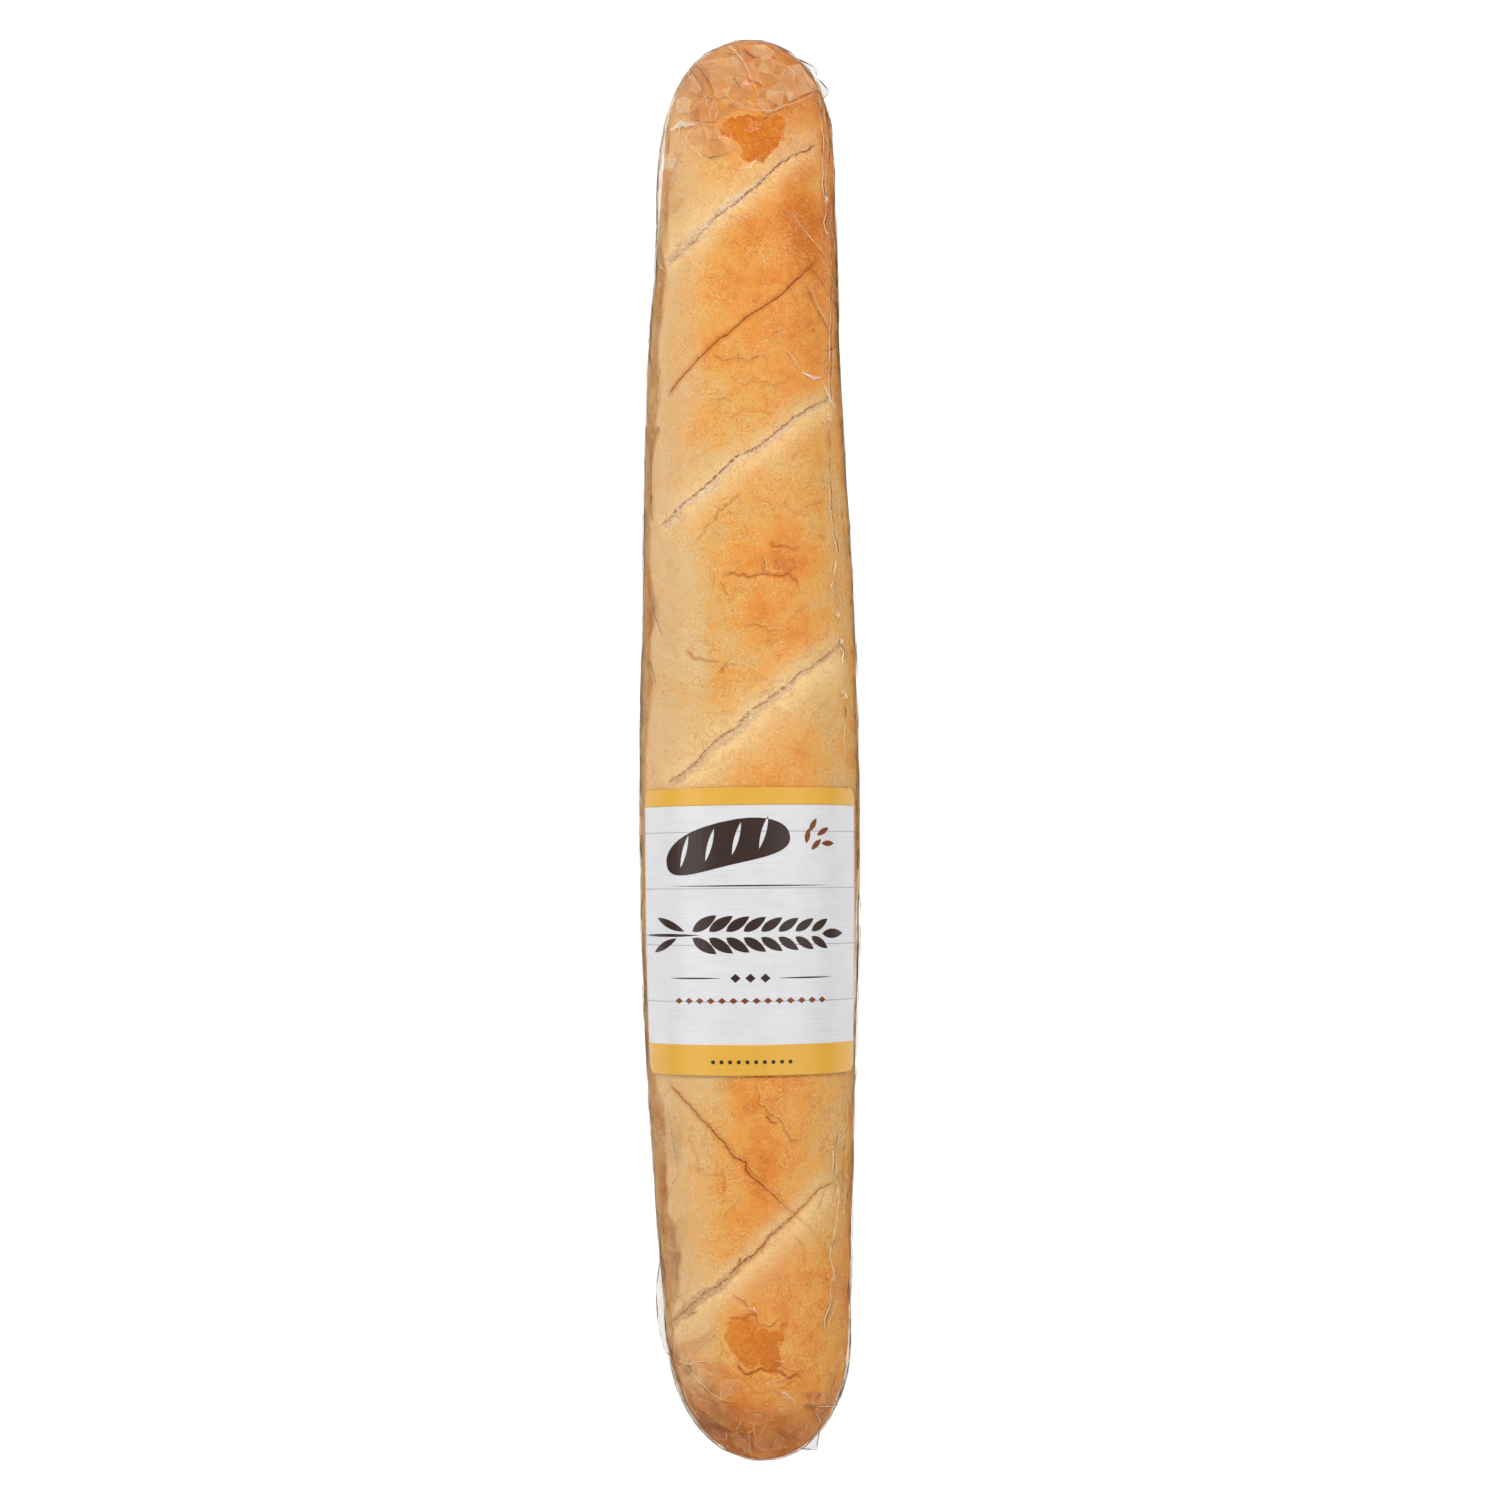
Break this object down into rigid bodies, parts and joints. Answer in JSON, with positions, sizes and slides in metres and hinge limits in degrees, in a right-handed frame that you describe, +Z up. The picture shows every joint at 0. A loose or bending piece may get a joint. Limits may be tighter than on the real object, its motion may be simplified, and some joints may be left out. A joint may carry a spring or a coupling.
{
  "type": "wrapped baguette",
  "caption": "Long scored soft-crust baguette sealed in tight clear film with creased ends and small side flaps, and a curved paper label across the top.",
  "frame": {"origin": "centre of the footprint, on the flat base that the loaf rests on", "axes": "+Y along the loaf towards the end far from the label, +Z up through the scored crown, +X to the right of both"},
  "size_m": [0.0783, 0.505, 0.0567],
  "materials": {
    "crust": "baked wheat crust: golden orange along the crown, paler on the flanks, cream beside the cuts, sandy and slightly flaky, satin",
    "film": "clear glossy film, tight along the loaf, creased and a little milky at the ends",
    "label_paper": "coated white label paper with faint grey board lines, satin gloss",
    "label_gold": "flat golden yellow print on the same satin paper",
    "label_brown": "dark brown print on the same satin paper",
    "label_russet": "red-brown print on the same satin paper"
  },
  "bodies": {
    "root": {"wrapped_loaf": "crust", "label": "label_paper"}
  },
  "joints": []
}
